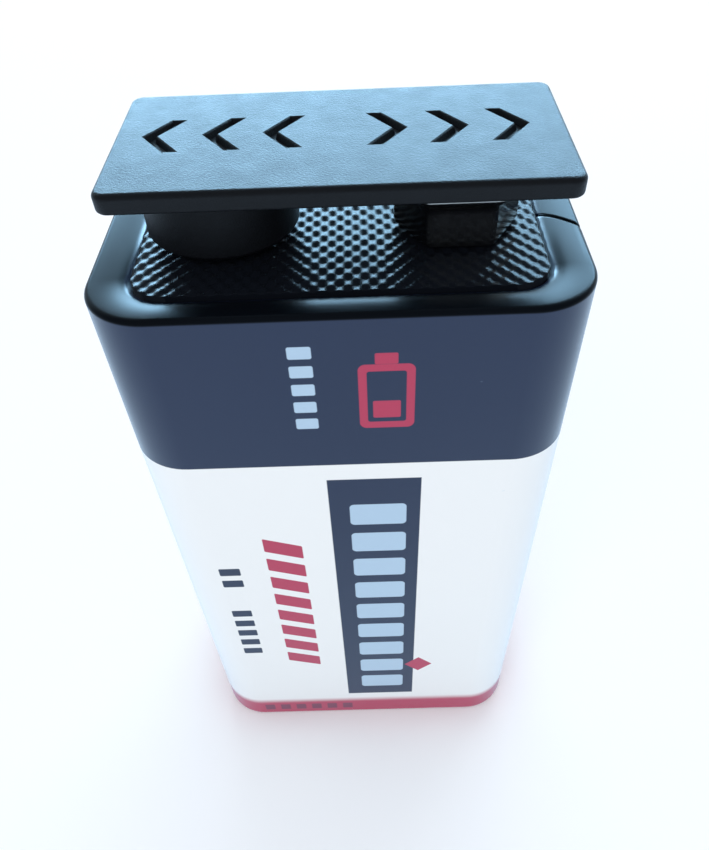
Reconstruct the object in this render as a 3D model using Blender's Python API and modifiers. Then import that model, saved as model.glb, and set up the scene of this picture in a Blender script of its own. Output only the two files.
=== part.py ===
"""A nine volt block battery with a push-on terminal cap.

Metres, +Z up. The origin is the middle of the base, X runs along the width,
Y along the depth, and the printed face looks along -Y.
"""

import math

import bmesh
import bpy
from mathutils import Vector

# Jacket: one sheet of tinplate, folded round the stack and crimped at both ends
WIDTH = 0.0262
DEPTH = 0.0172
RIM_HEIGHT = 0.0443
CORNER_RADIUS = 0.0036
SHEET = 0.0003
SHOULDER_RUN = 0.00045
SHOULDER_DROP = 0.00045
RIM_LAND = 0.001
HEM_RADIUS = 0.00075
RIM_WIDTH = SHOULDER_RUN + RIM_LAND + HEM_RADIUS
OPENING_RADIUS = 0.0021
BASE_RADIUS = 0.0009
LAND_WIDTH = 0.0013
SEAM_OFFSET = -0.0012
SEAM_GAP = 0.00012
BAND_HEIGHT = 0.0103
STRIPE_TOP = 0.003

# Clearances: pieces that seat on each other, and pieces that drop in beside a wall
SEAT = 0.0001
SIDE_CLEARANCE = 0.00025
CAP_CLEARANCE = 0.00008

# Terminal plate: a moulded lid with a skirt and a raised, studded panel
PLATE_RECESS = 0.0001
PANEL_RISE = 0.0008
PLATE_THICKNESS = 0.0016
PLATE_SKIRT = 0.001
PLATE_SKIRT_DEPTH = 0.0008
PAD_WIDTH = 0.00087
PAD_LENGTH = 0.00107
PAD_RISE = 0.00014

# Snap contacts: 12.7 mm apart at this width, a round stud and a six-sided socket
TERMINAL_INSET = 0.00675
TERMINAL_SPACING = WIDTH - 2 * TERMINAL_INSET
TERMINAL_HEIGHT = 0.0028
STUD_NECK_RADIUS = 0.00262
STUD_BULB_STEP = 0.00028
STUD_BULB_RADIUS = STUD_NECK_RADIUS + STUD_BULB_STEP
STUD_BULB_ROUND = 0.0007
STUD_FLANGE = 0.00083
STUD_FLANGE_RADIUS = STUD_NECK_RADIUS + STUD_FLANGE
STUD_RECESS = 0.0006
STUD_LIP = 0.001
STUD_MOUTH_RADIUS = STUD_BULB_RADIUS - STUD_LIP
CONTACT_METAL = 0.00028
SOCKET_FLATS = 0.0062
SOCKET_PINCH = 0.0002
SOCKET_WAIST = SOCKET_FLATS - SOCKET_PINCH
SOCKET_SPREAD = 0.0007
SOCKET_MOUTH = SOCKET_FLATS + SOCKET_SPREAD
SOCKET_CORNER = 0.0005
SOCKET_LIP = 0.0003
SOCKET_FLARE = 0.0007
SOCKET_NECK = 0.0013
SOCKET_FOOT = 0.0006
SOCKET_BEND = 0.0002

# Eyelets that rivet the contacts to the plate
EYELET_WALL = 0.0003
EYELET_CLEARANCE = 0.00015
EYELET_ROLL = 0.0005
EYELET_FLANGE = 0.00065
EYELET_ROLL_RADIUS = STUD_MOUTH_RADIUS - EYELET_CLEARANCE
EYELET_RADIUS = EYELET_ROLL_RADIUS - EYELET_ROLL
EYELET_FLANGE_RADIUS = EYELET_RADIUS + EYELET_FLANGE

# Cells, two rows of three, and the strips that join them in series
CELL_COLUMNS = 3
CELL_ROWS = 2
CELL_GAP = 0.00018
CELL_NUB_RADIUS = 0.0014
CELL_NUB_HEIGHT = 0.0006
CELL_BEAD_HEIGHT = 0.0026
CELL_BEAD_DEPTH = 0.0003
CELL_EDGE = 0.0003
CELL_CRIMP = 0.0006
CELL_RIM = 0.00165
STRIP = 0.0002
STRAP_WIDTH = 0.003
LEAD_WIDTH = 0.004
LEAD_SLOT = 0.0024

# Card, sleeve and base
CARD = 0.0003
SLEEVE = 0.0002
BASE_THICKNESS = 0.0012

# Terminal cap: a bar with a cup that stops on the stud and a boss in the socket
CAP_END = 0.0052
CAP_SHIFT = 0.0002
CAP_SET_BACK = 0.0002
CAP_WIDTH = 0.0114
CAP_SKIN = 0.00098
CAP_STOP = 0.0008
CAP_CORNER = 0.0007
CAP_EDGE = 0.0003
CAP_FOOT = 0.00015
CUP_WALL = 0.00117
BOSS_CLEARANCE = 0.00032
BOSS_RADIUS = SOCKET_WAIST / 2 - CONTACT_METAL - BOSS_CLEARANCE
BOSS_REACH = 0.0007
MARK_DEPTH = 0.00035
MARK_STROKE = 0.00055
MARK_HEIGHT = 0.0036
MARK_START = 0.0017
MARK_END = 0.000575
MARK_OFFSET = 0.0006
MARK_SLOPE = 0.7
MARKS_EACH_SIDE = 3

# Facets
CORNER_STEPS = 6
ROUND_STEPS = 24
CELL_STEPS = 18

# Levels, from the base up
BASE_LEVEL = SHEET + SEAT
LOWER_CARD_LEVEL = BASE_LEVEL + BASE_THICKNESS + SEAT
LOWER_STRAP_LEVEL = LOWER_CARD_LEVEL + CARD + SEAT
CELL_LEVEL = LOWER_STRAP_LEVEL + STRIP + SEAT

# Levels, from the rim down
BAND_LEVEL = RIM_HEIGHT - BAND_HEIGHT
PANEL_LEVEL = RIM_HEIGHT - PLATE_RECESS
FLANGE_LEVEL = PANEL_LEVEL - PANEL_RISE
HEM_LEVEL = FLANGE_LEVEL + SEAT
PLATE_UNDERSIDE = PANEL_LEVEL - PLATE_THICKNESS
LEAD_LEVEL = PLATE_UNDERSIDE - SEAT - STRIP
SKIRT_LEVEL = PLATE_UNDERSIDE - PLATE_SKIRT_DEPTH
UPPER_CARD_LEVEL = SKIRT_LEVEL - SEAT - CARD
UPPER_STRAP_LEVEL = UPPER_CARD_LEVEL - SEAT - STRIP
CONTACT_LEVEL = PANEL_LEVEL + SEAT
CONTACT_TOP = PANEL_LEVEL + TERMINAL_HEIGHT
CUP_CEILING = CONTACT_TOP + CAP_CLEARANCE + SEAT
CAP_UNDERSIDE = CUP_CEILING + CAP_STOP
CAP_TOP = CAP_UNDERSIDE + CAP_SKIN

# Plan sizes, measured from the middle
INSIDE_X = WIDTH / 2 - SHEET
INSIDE_Y = DEPTH / 2 - SHEET
INSIDE_RADIUS = CORNER_RADIUS - SHEET
SLEEVE_X = INSIDE_X - SIDE_CLEARANCE / 2
SLEEVE_Y = INSIDE_Y - SIDE_CLEARANCE / 2
TERMINAL_X = TERMINAL_SPACING / 2
BORE_RADIUS = EYELET_RADIUS + SEAT
CAP_X = TERMINAL_X + CAP_END
CAP_Y = CAP_WIDTH / 2
MARK_PITCH = (CAP_X - MARK_START - MARK_END) / MARKS_EACH_SIDE

# Cells: the longest between the card and the lower straps, and the widest in the sleeve
CELL_LENGTH = UPPER_STRAP_LEVEL - SEAT - CELL_LEVEL
ROOM_X = 2 * (SLEEVE_X - SLEEVE)
ROOM_Y = 2 * (SLEEVE_Y - SLEEVE)
ROW_DIAMETER = (ROOM_X - (CELL_COLUMNS + 1) * CELL_GAP) / CELL_COLUMNS
COLUMN_DIAMETER = (ROOM_Y - (CELL_ROWS + 1) * CELL_GAP) / CELL_ROWS
CELL_RADIUS = min(ROW_DIAMETER, COLUMN_DIAMETER) / 2
CELL_PITCH_X = (ROOM_X + 2 * CELL_RADIUS) / (CELL_COLUMNS + 1)
CELL_PITCH_Y = (ROOM_Y + 2 * CELL_RADIUS) / (CELL_ROWS + 1)

TINPLATE_WHITE = (0.86, 0.88, 0.92)
BAND_BLACK = (0.012, 0.014, 0.024)
STRIPE_RED = (0.62, 0.03, 0.08)
MOULDED_BLACK = (0.014, 0.015, 0.019)
NICKEL = (0.52, 0.5, 0.47)
CAN_STEEL = (0.6, 0.61, 0.63)
CARD_GREY = (0.42, 0.4, 0.37)
SLEEVE_WHITE = (0.8, 0.8, 0.78)


def clear_scene():
    """Leaves the scene and its collections empty."""
    for existing in list(bpy.data.objects):
        bpy.data.objects.remove(existing, do_unlink=True)


def collection(name):
    """A new collection in the scene."""
    made = bpy.data.collections.new(name)
    bpy.context.scene.collection.children.link(made)
    return made


def material(name, colour, roughness, metallic):
    """A Principled material with one colour."""
    made = bpy.data.materials.new(name)
    made.use_nodes = True
    surface = made.node_tree.nodes["Principled BSDF"]
    surface.inputs["Base Color"].default_value = (*colour, 1)
    surface.inputs["Roughness"].default_value = roughness
    surface.inputs["Metallic"].default_value = metallic
    made.diffuse_color = (*colour, 1)
    return made


def place(name, data, finish, location=(0, 0, 0)):
    """Adds an object to the battery, with its material."""
    made = bpy.data.objects.new(name, data)
    if finish and not data.materials:
        data.materials.append(finish)
    made.location = location
    battery.objects.link(made)
    return made


def as_cutter(tool):
    """Moves an object to the cutters, where no render shows it."""
    battery.objects.unlink(tool)
    cutters.objects.link(tool)
    tool.hide_render = True
    tool.display_type = "WIRE"
    return tool


def boolean(target, tool, operation):
    """Cuts, joins or trims the target with the tool."""
    change = target.modifiers.new(tool.name, "BOOLEAN")
    change.operation = operation
    change.object = as_cutter(tool)


def rounded_outline(corners, radius, steps=CORNER_STEPS):
    """The corners of a convex outline, anticlockwise, each one turned into an arc."""
    points = []
    for index, corner in enumerate(corners):
        before = (corners[index - 1] - corner).normalized()
        after = (corners[(index + 1) % len(corners)] - corner).normalized()
        half = before.angle(after) / 2
        centre = corner + (before + after).normalized() * radius / math.sin(half)
        start = corner + before * radius / math.tan(half) - centre
        turn = math.pi - 2 * half
        first = math.atan2(start.y, start.x)
        for step in range(steps + 1):
            angle = first + turn * step / steps
            points.append(centre + radius * Vector((math.cos(angle), math.sin(angle))))
    return points


def rectangle(half_x, half_y, radius, steps=CORNER_STEPS):
    """A rounded rectangle about the origin."""
    signs = ((1, 1), (-1, 1), (-1, -1), (1, -1))
    corners = [Vector((x * half_x, y * half_y)) for x, y in signs]
    return rounded_outline(corners, radius, steps)


def hexagon(flats, radius, steps):
    """A rounded hexagon with a corner at +X, given across its flats."""
    reach = flats / math.sqrt(3)
    angles = [math.radians(60 * turn) for turn in range(6)]
    corners = [Vector((reach * math.cos(a), reach * math.sin(a))) for a in angles]
    return rounded_outline(corners, radius, steps)


def loft(name, rings, finish, ring_is_closed=True, top=False, floor=False):
    """A skin through rings that run down its outer side, with or without its ends."""
    shape = bmesh.new()
    rows = [[shape.verts.new((p.x, p.y, height)) for p in ring] for ring, height in rings]
    count = len(rows[0])
    for upper, lower in zip(rows, rows[1:]):
        for index in range(count if ring_is_closed else count - 1):
            other = (index + 1) % count
            shape.faces.new((upper[index], lower[index], lower[other], upper[other]))
    if top:
        shape.faces.new(rows[0])
    if floor:
        shape.faces.new(reversed(rows[-1]))
    data = bpy.data.meshes.new(name)
    shape.to_mesh(data)
    shape.free()
    return place(name, data, finish)


def thicken(skin, thickness):
    """Gives a skin its wall, inwards."""
    wall = skin.modifiers.new("Thickness", "SOLIDIFY")
    wall.thickness = thickness
    wall.offset = -1
    wall.use_even_offset = True


def turned(name, profile, steps, finish, location=(0, 0, 0), hollow=False):
    """A profile of radius and height, running down its outer side, turned about Z."""
    data = bpy.data.meshes.new(name)
    edges = [(index, index + 1) for index in range(len(profile) - 1)]
    if hollow:
        edges.append((len(profile) - 1, 0))
    data.from_pydata([(radius, 0, height) for radius, height in profile], edges, [])
    made = place(name, data, finish, location)
    add_screw(made, steps)
    return made


def add_screw(target, steps):
    """Turns the target's profile through a full circle about Z."""
    screw = target.modifiers.new("Turn", "SCREW")
    screw.steps = steps
    screw.render_steps = steps
    screw.use_merge_vertices = True
    screw.merge_threshold = 0.00001
    screw.use_smooth_shade = True


def slab(name, outlines, bottom, thickness, finish, location=(0, 0)):
    """A flat outline, with any further outlines as holes, given a thickness."""
    data = bpy.data.curves.new(name, "CURVE")
    data.dimensions = "2D"
    data.fill_mode = "BOTH"
    data.extrude = thickness / 2
    for outline in outlines:
        spline = data.splines.new("POLY")
        spline.points.add(len(outline) - 1)
        for point, spot in zip(spline.points, outline):
            point.co = (spot.x, spot.y, 0, 1)
        spline.use_cyclic_u = True
    height = bottom + thickness / 2
    return place(name, data, finish, (location[0], location[1], height))


def as_mesh(source, finish=None):
    """Replaces a curve object by a welded mesh object of the same name and place."""
    bpy.context.view_layer.update()
    graph = bpy.context.evaluated_depsgraph_get()
    data = bpy.data.meshes.new_from_object(source.evaluated_get(graph))
    welded = bmesh.new()
    welded.from_mesh(data)
    bmesh.ops.remove_doubles(welded, verts=welded.verts, dist=0.000001)
    bmesh.ops.recalc_face_normals(welded, faces=welded.faces)
    welded.to_mesh(data)
    welded.free()
    name, matrix, curve = source.name, source.matrix_world.copy(), source.data
    bpy.data.objects.remove(source)
    bpy.data.curves.remove(curve)
    made = place(name, data, finish)
    made.matrix_world = matrix
    return made


def cylinder_cutter(name, radius, bottom, top, location):
    """A round cutter between two levels."""
    shape = bmesh.new()
    bmesh.ops.create_cone(
        shape,
        cap_ends=True,
        segments=ROUND_STEPS,
        radius1=radius,
        radius2=radius,
        depth=top - bottom,
    )
    data = bpy.data.meshes.new(name)
    shape.to_mesh(data)
    shape.free()
    return place(name, data, None, (*location, (top + bottom) / 2))


def arc(steps):
    """Angles of a quarter turn, its start left out."""
    return [math.pi / 2 * step / steps for step in range(1, steps + 1)]


def jacket_ring(inset):
    """The jacket's outline at an inset, opened at the seam on its +X side."""
    half_x = WIDTH / 2 - inset
    radius = CORNER_RADIUS - inset / RIM_WIDTH * (CORNER_RADIUS - OPENING_RADIUS)
    points = rectangle(half_x, DEPTH / 2 - inset, radius)
    first = Vector((half_x, SEAM_OFFSET + SEAM_GAP / 2))
    last = Vector((half_x, SEAM_OFFSET - SEAM_GAP / 2))
    return [first, *points, last]


def make_jacket():
    """The folded jacket: hem, domed shoulder, wall, curl and the land it stands on."""
    section = [(RIM_WIDTH, HEM_LEVEL), (RIM_WIDTH, RIM_HEIGHT - HEM_RADIUS)]
    for angle in arc(3):
        inset = RIM_WIDTH - HEM_RADIUS * (1 - math.cos(angle))
        section.append((inset, RIM_HEIGHT - HEM_RADIUS * (1 - math.sin(angle))))
    section.append((SHOULDER_RUN, RIM_HEIGHT))
    for angle in arc(5):
        inset = SHOULDER_RUN * (1 - math.sin(angle))
        section.append((inset, RIM_HEIGHT - SHOULDER_DROP * (1 - math.cos(angle))))
    section += [(0, BAND_LEVEL), (0, STRIPE_TOP), (0, BASE_RADIUS)]
    for angle in arc(3):
        inset = BASE_RADIUS * (1 - math.cos(angle))
        section.append((inset, BASE_RADIUS * (1 - math.sin(angle))))
    section.append((BASE_RADIUS + LAND_WIDTH, 0))
    rings = [(jacket_ring(inset), height) for inset, height in section]
    white = material("jacket_white", TINPLATE_WHITE, 0.35, 0)
    jacket = loft("jacket", rings, white, ring_is_closed=False)
    thicken(jacket, SHEET)
    jacket.data.materials.append(material("jacket_band", BAND_BLACK, 0.25, 0))
    jacket.data.materials.append(material("jacket_stripe", STRIPE_RED, 0.3, 0))
    for face in jacket.data.polygons:
        if face.center.z > BAND_LEVEL:
            face.material_index = 1
        elif face.center.z < STRIPE_TOP:
            face.material_index = 2
    jacket.data.shade_smooth()
    jacket.data.set_sharp_from_angle(angle=math.radians(40))


def studded_panel(half_x, half_y):
    """A block whose top is a grid of diamonds, each one drawn up to a low point."""
    cells = 2 * math.ceil(half_x / PAD_WIDTH + half_y / PAD_LENGTH + 1)
    shape = bmesh.new()
    bmesh.ops.create_grid(shape, x_segments=cells, y_segments=cells, size=cells / 2)
    for corner in shape.verts:
        across, along = corner.co.x, corner.co.y
        corner.co.x = (across - along) * PAD_WIDTH / 2
        corner.co.y = (across + along) * PAD_LENGTH / 2
    outside = []
    for cell in shape.faces:
        middle = cell.calc_center_median()
        if abs(middle.x) > half_x + PAD_WIDTH or abs(middle.y) > half_y + PAD_LENGTH:
            outside.append(cell)
    bmesh.ops.delete(shape, geom=outside, context="FACES")
    bmesh.ops.poke(shape, faces=shape.faces, offset=PAD_RISE)
    bmesh.ops.translate(shape, verts=shape.verts, vec=(0, 0, -PAD_RISE))
    block = bmesh.ops.extrude_face_region(shape, geom=shape.faces[:])
    for element in block["geom"]:
        if isinstance(element, bmesh.types.BMVert):
            element.co.z = -1.5 * PANEL_RISE
    bmesh.ops.recalc_face_normals(shape, faces=shape.faces)
    data = bpy.data.meshes.new("studded_panel")
    shape.to_mesh(data)
    shape.free()
    return place("studded_panel", data, None, (0, 0, PANEL_LEVEL))


def make_terminal_plate():
    """The lid: a flange under the hem, a skirt on the cells and the studded panel."""
    black = material("plate_black", MOULDED_BLACK, 0.4, 0)
    half_x = INSIDE_X - SIDE_CLEARANCE
    half_y = INSIDE_Y - SIDE_CLEARANCE
    radius = INSIDE_RADIUS - SIDE_CLEARANCE
    outline = rectangle(half_x, half_y, radius)
    lid = slab("terminal_plate", [outline], SKIRT_LEVEL, FLANGE_LEVEL - SKIRT_LEVEL, black)
    plate = as_mesh(lid, black)
    panel_x = WIDTH / 2 - RIM_WIDTH - SEAT
    panel_y = DEPTH / 2 - RIM_WIDTH - SEAT
    panel_outline = rectangle(panel_x, panel_y, OPENING_RADIUS - SEAT)
    panel = studded_panel(panel_x, panel_y)
    trim = slab("panel_trim", [panel_outline], PANEL_LEVEL - 3 * PANEL_RISE, 5 * PANEL_RISE, None)
    boolean(panel, as_mesh(trim), "INTERSECT")
    boolean(plate, panel, "UNION")
    inner = rectangle(half_x - PLATE_SKIRT, half_y - PLATE_SKIRT, radius - PLATE_SKIRT)
    depth = PLATE_UNDERSIDE - SKIRT_LEVEL
    pocket = slab("plate_pocket", [inner], SKIRT_LEVEL - depth, 2 * depth, None)
    boolean(plate, as_mesh(pocket), "DIFFERENCE")
    for side, name in ((-1, "positive_bore"), (1, "negative_bore")):
        spot = (side * TERMINAL_X, 0)
        bottom = PLATE_UNDERSIDE - PANEL_RISE
        top = PANEL_LEVEL + PANEL_RISE
        boolean(plate, cylinder_cutter(name, BORE_RADIUS, bottom, top, spot), "DIFFERENCE")


def make_stud(nickel):
    """The positive contact: a drawn stud with a bulb, a neck and a recessed mouth."""
    height = CONTACT_TOP - CONTACT_LEVEL
    wall = CONTACT_METAL
    floor = height - STUD_RECESS
    bulb_level = height - STUD_BULB_ROUND
    bulb_core = STUD_BULB_RADIUS - STUD_BULB_ROUND
    neck_step = STUD_BULB_RADIUS - STUD_NECK_RADIUS
    profile = [(STUD_MOUTH_RADIUS, height - wall), (STUD_MOUTH_RADIUS + wall, height)]
    for angle in arc(3):
        radius = bulb_core + STUD_BULB_ROUND * math.sin(angle)
        profile.append((radius, bulb_level + STUD_BULB_ROUND * math.cos(angle)))
    for angle in arc(3):
        radius = STUD_NECK_RADIUS + neck_step * math.cos(angle)
        profile.append((radius, bulb_level - STUD_BULB_ROUND * math.sin(angle)))
    profile += [
        (STUD_NECK_RADIUS, 2 * wall),
        (STUD_NECK_RADIUS + wall, wall),
        (STUD_FLANGE_RADIUS, wall),
        (STUD_FLANGE_RADIUS, 0),
        (STUD_NECK_RADIUS, 0),
        (STUD_NECK_RADIUS - wall, wall),
        (STUD_NECK_RADIUS - wall, bulb_level - STUD_BULB_ROUND),
        (STUD_BULB_RADIUS - wall, bulb_level),
        (STUD_MOUTH_RADIUS + wall, floor - wall),
        (BORE_RADIUS, floor - wall),
        (BORE_RADIUS, floor),
        (STUD_MOUTH_RADIUS, floor),
    ]
    spot = (-TERMINAL_X, 0, CONTACT_LEVEL)
    turned("positive_stud", profile, ROUND_STEPS, nickel, spot, hollow=True)


def make_socket(nickel):
    """The negative contact: a six-sided cup, drawn in at its waist and flared above."""
    height = CONTACT_TOP - CONTACT_LEVEL
    section = [
        (SOCKET_MOUTH, height),
        (SOCKET_MOUTH - SOCKET_BEND, height - SOCKET_LIP),
        (SOCKET_WAIST + SOCKET_BEND, height - SOCKET_FLARE),
        (SOCKET_WAIST, height - SOCKET_NECK),
        (SOCKET_FLATS, SOCKET_FOOT),
        (SOCKET_FLATS, CONTACT_METAL),
        (SOCKET_FLATS - CONTACT_METAL, 0),
    ]
    rings = [
        (hexagon(flats, SOCKET_CORNER, steps=3), CONTACT_LEVEL + level)
        for flats, level in section
    ]
    socket = loft("negative_socket", rings, nickel, floor=True)
    thicken(socket, CONTACT_METAL)
    socket.location.x = TERMINAL_X
    socket.data.shade_smooth()
    socket.data.set_sharp_from_angle(angle=math.radians(35))
    bore = cylinder_cutter(
        "socket_bore",
        BORE_RADIUS,
        CONTACT_LEVEL - CONTACT_METAL,
        CONTACT_LEVEL + 2 * CONTACT_METAL,
        (TERMINAL_X, 0),
    )
    boolean(socket, bore, "DIFFERENCE")


def make_eyelet(name, x, seat_level, nickel):
    """A tubular rivet: a flange under the lead and an end rolled over at its seat."""
    bottom = LEAD_LEVEL - SEAT - EYELET_WALL
    roll = seat_level + SEAT
    inner = EYELET_RADIUS - EYELET_WALL
    profile = [
        (EYELET_RADIUS, roll + EYELET_WALL),
        (EYELET_ROLL_RADIUS, roll + EYELET_WALL / 2),
        (EYELET_ROLL_RADIUS, roll),
        (EYELET_RADIUS, roll),
        (EYELET_RADIUS, bottom + EYELET_WALL),
        (EYELET_FLANGE_RADIUS, bottom + EYELET_WALL),
        (EYELET_FLANGE_RADIUS, bottom),
        (EYELET_RADIUS, bottom),
        (inner, bottom + EYELET_WALL),
        (inner, roll),
    ]
    turned(name, profile, ROUND_STEPS * 2 // 3, nickel, (x, 0, 0), hollow=True)


def strap_outline(span, width):
    """A strip with round ends, along X."""
    half = span / 2 + width / 2
    return rectangle(half, width / 2, width / 2)


def make_strap(name, first, second, bottom, finish):
    """A strip welded across the ends of two neighbouring cells."""
    middle = (first + second) / 2
    reach = second - first
    outline = strap_outline(reach.length, STRAP_WIDTH)
    strap = slab(name, [outline], bottom, STRIP, finish, (middle.x, middle.y))
    strap.rotation_euler.z = math.atan2(reach.y, reach.x)


def make_lead(name, cell, terminal, finish):
    """A bent strip from a cell's end up to the eyelet under the plate."""
    run = terminal - cell
    pad = LEAD_WIDTH / 2
    bend_start = run.length - EYELET_FLANGE_RADIUS - LEAD_SLOT / 2
    bend_end = run.length - EYELET_FLANGE_RADIUS - 4 * SEAT
    low = UPPER_STRAP_LEVEL
    high = LEAD_LEVEL
    side = [
        Vector((-pad / 2, low)),
        Vector((bend_start + STRIP, low)),
        Vector((bend_end + STRIP, high)),
        Vector((run.length + pad, high)),
        Vector((run.length + pad, high + STRIP)),
        Vector((bend_end, high + STRIP)),
        Vector((bend_start, low + STRIP)),
        Vector((-pad / 2, low + STRIP)),
    ]
    strip = slab(name, [side], -LEAD_WIDTH / 2, LEAD_WIDTH, finish)
    strip.location = (cell.x, cell.y, 0)
    strip.rotation_euler = (math.pi / 2, 0, math.atan2(run.y, run.x))
    lead = as_mesh(strip, finish)
    hole = cylinder_cutter(
        name + "_hole", BORE_RADIUS, high - STRIP, high + 2 * STRIP, terminal
    )
    boolean(lead, hole, "DIFFERENCE")


def slot_outline(cell, terminal):
    """The window in the upper card that a lead rises through."""
    run = terminal - cell
    turn = run.normalized()
    side = Vector((-turn.y, turn.x))
    middle = cell + turn * (run.length - EYELET_FLANGE_RADIUS - LEAD_SLOT / 2 + 4 * SEAT)
    half_x = LEAD_SLOT / 2
    half_y = LEAD_WIDTH / 2 + SIDE_CLEARANCE
    signs = ((-1, -1), (-1, 1), (1, 1), (1, -1))
    return [middle + turn * (x * half_x) + side * (y * half_y) for x, y in signs]


def cell_profile():
    """Half the section of a sealed cell, nub up, about its own middle."""
    top = CELL_LENGTH / 2
    bottom = -top
    shoulder = top - CELL_NUB_HEIGHT
    bead = bottom + CELL_BEAD_HEIGHT
    rolled = CELL_RADIUS - CELL_CRIMP
    cover = CELL_RADIUS - CELL_RIM
    return [
        (0, top),
        (CELL_NUB_RADIUS - CELL_EDGE / 2, top),
        (CELL_NUB_RADIUS, top - CELL_EDGE / 2),
        (CELL_NUB_RADIUS, shoulder),
        (rolled, shoulder),
        (CELL_RADIUS, shoulder - CELL_CRIMP),
        (CELL_RADIUS, bead + CELL_EDGE),
        (CELL_RADIUS - CELL_BEAD_DEPTH, bead),
        (CELL_RADIUS, bead - CELL_EDGE),
        (CELL_RADIUS, bottom + CELL_CRIMP),
        (rolled, bottom + CELL_EDGE),
        (rolled - CELL_EDGE, bottom + CELL_CRIMP),
        (cover + CELL_EDGE / 2, bottom + CELL_CRIMP),
        (cover, bottom),
        (0, bottom),
    ]


def make_cells(spots, steel):
    """Six sealed cells, each second one standing on its nub."""
    data = bpy.data.meshes.new("cell")
    profile = cell_profile()
    edges = [(index, index + 1) for index in range(len(profile) - 1)]
    data.from_pydata([(radius, 0, height) for radius, height in profile], edges, [])
    for number, spot in enumerate(spots, start=1):
        height = CELL_LEVEL + CELL_LENGTH / 2
        cell = place(f"cell_{number}", data, steel, (spot.x, spot.y, height))
        if number % 2 == 0:
            cell.rotation_euler.x = math.pi
        add_screw(cell, CELL_STEPS)


def mark_cutter():
    """Open arrowheads along the cap, pointing outwards to both sides."""
    half = MARK_HEIGHT / 2
    lean = half * MARK_SLOPE
    stroke = MARK_STROKE * math.hypot(1, MARK_SLOPE)
    arrow = [
        Vector((0, -half)),
        Vector((stroke, -half)),
        Vector((stroke + lean, 0)),
        Vector((stroke, half)),
        Vector((0, half)),
        Vector((lean, 0)),
    ]
    flat = slab("cap_marks", [arrow], CAP_TOP - MARK_DEPTH, 2 * MARK_DEPTH, None)
    marks = as_mesh(flat)
    for point in marks.data.vertices:
        point.co.x += MARK_START
        point.co.y += MARK_OFFSET
    row = marks.modifiers.new("Row", "ARRAY")
    row.count = MARKS_EACH_SIDE
    row.use_relative_offset = False
    row.use_constant_offset = True
    row.constant_offset_displace = (MARK_PITCH, 0, 0)
    halves = marks.modifiers.new("Both sides", "MIRROR")
    halves.use_axis = (True, False, False)
    halves.merge_threshold = 0.00001
    return marks


def make_cap():
    """The moulded cap: bar, cup round the stud, boss in the socket, sunk marks."""
    black = material("cap_black", MOULDED_BLACK, 0.6, 0)
    section = [(CAP_EDGE, CAP_TOP)]
    for angle in arc(3):
        inset = CAP_EDGE * (1 - math.sin(angle))
        section.append((inset, CAP_TOP - CAP_EDGE * (1 - math.cos(angle))))
    section += [(0, CAP_UNDERSIDE + CAP_FOOT), (CAP_FOOT, CAP_UNDERSIDE)]
    rings = []
    for inset, height in section:
        ring = rectangle(CAP_X - inset, CAP_Y - inset, CAP_CORNER - inset)
        rings.append(([Vector((p.x + CAP_SHIFT, p.y + CAP_SET_BACK)) for p in ring], height))
    cap = loft("terminal_cap", rings, black, top=True, floor=True)
    bore = STUD_BULB_RADIUS + CAP_CLEARANCE
    mouth = CONTACT_LEVEL + CONTACT_METAL + SEAT
    overlap = CAP_SKIN / 2
    cup_profile = [
        (0, CAP_UNDERSIDE + overlap),
        (bore + CUP_WALL, CAP_UNDERSIDE + overlap),
        (bore + CUP_WALL, mouth + SEAT),
        (bore + CUP_WALL - SEAT, mouth),
        (bore + SEAT, mouth),
        (bore, mouth + SEAT),
        (bore, CUP_CEILING),
        (0, CUP_CEILING),
    ]
    spot = (-TERMINAL_X, 0, 0)
    cup = turned("cap_cup", cup_profile, ROUND_STEPS, None, spot)
    boolean(cap, cup, "UNION")
    boss = cylinder_cutter(
        "cap_boss",
        BOSS_RADIUS,
        CONTACT_TOP - BOSS_REACH,
        CAP_UNDERSIDE + overlap,
        (TERMINAL_X, 0),
    )
    boolean(cap, boss, "UNION")
    boolean(cap, mark_cutter(), "DIFFERENCE")


clear_scene()
battery = collection("battery")
cutters = collection("cutters")

make_jacket()
make_terminal_plate()

nickel = material("nickel", NICKEL, 0.3, 1)
make_stud(nickel)
make_socket(nickel)
recess_floor = CONTACT_TOP - STUD_RECESS
make_eyelet("positive_rivet", -TERMINAL_X, recess_floor, nickel)
make_eyelet("negative_rivet", TERMINAL_X, CONTACT_LEVEL + CONTACT_METAL, nickel)

# The cells in the order of the series circuit, from the positive contact
left, middle, right = -CELL_PITCH_X, 0, CELL_PITCH_X
front, back = -CELL_PITCH_Y / 2, CELL_PITCH_Y / 2
route = ((left, front), (left, back), (middle, back), (middle, front), (right, front), (right, back))
spots = [Vector(spot) for spot in route]
make_cells(spots, material("can_steel", CAN_STEEL, 0.35, 1))

strip_metal = material("strip_nickel", NICKEL, 0.35, 1)
for number, start in enumerate((0, 2, 4), start=1):
    name = f"lower_strap_{number}"
    make_strap(name, spots[start], spots[start + 1], LOWER_STRAP_LEVEL, strip_metal)
for number, start in enumerate((1, 3), start=1):
    name = f"upper_strap_{number}"
    make_strap(name, spots[start], spots[start + 1], UPPER_STRAP_LEVEL, strip_metal)
positive = Vector((-TERMINAL_X, 0))
negative = Vector((TERMINAL_X, 0))
make_lead("positive_lead", spots[0], positive, strip_metal)
make_lead("negative_lead", spots[-1], negative, strip_metal)

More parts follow.
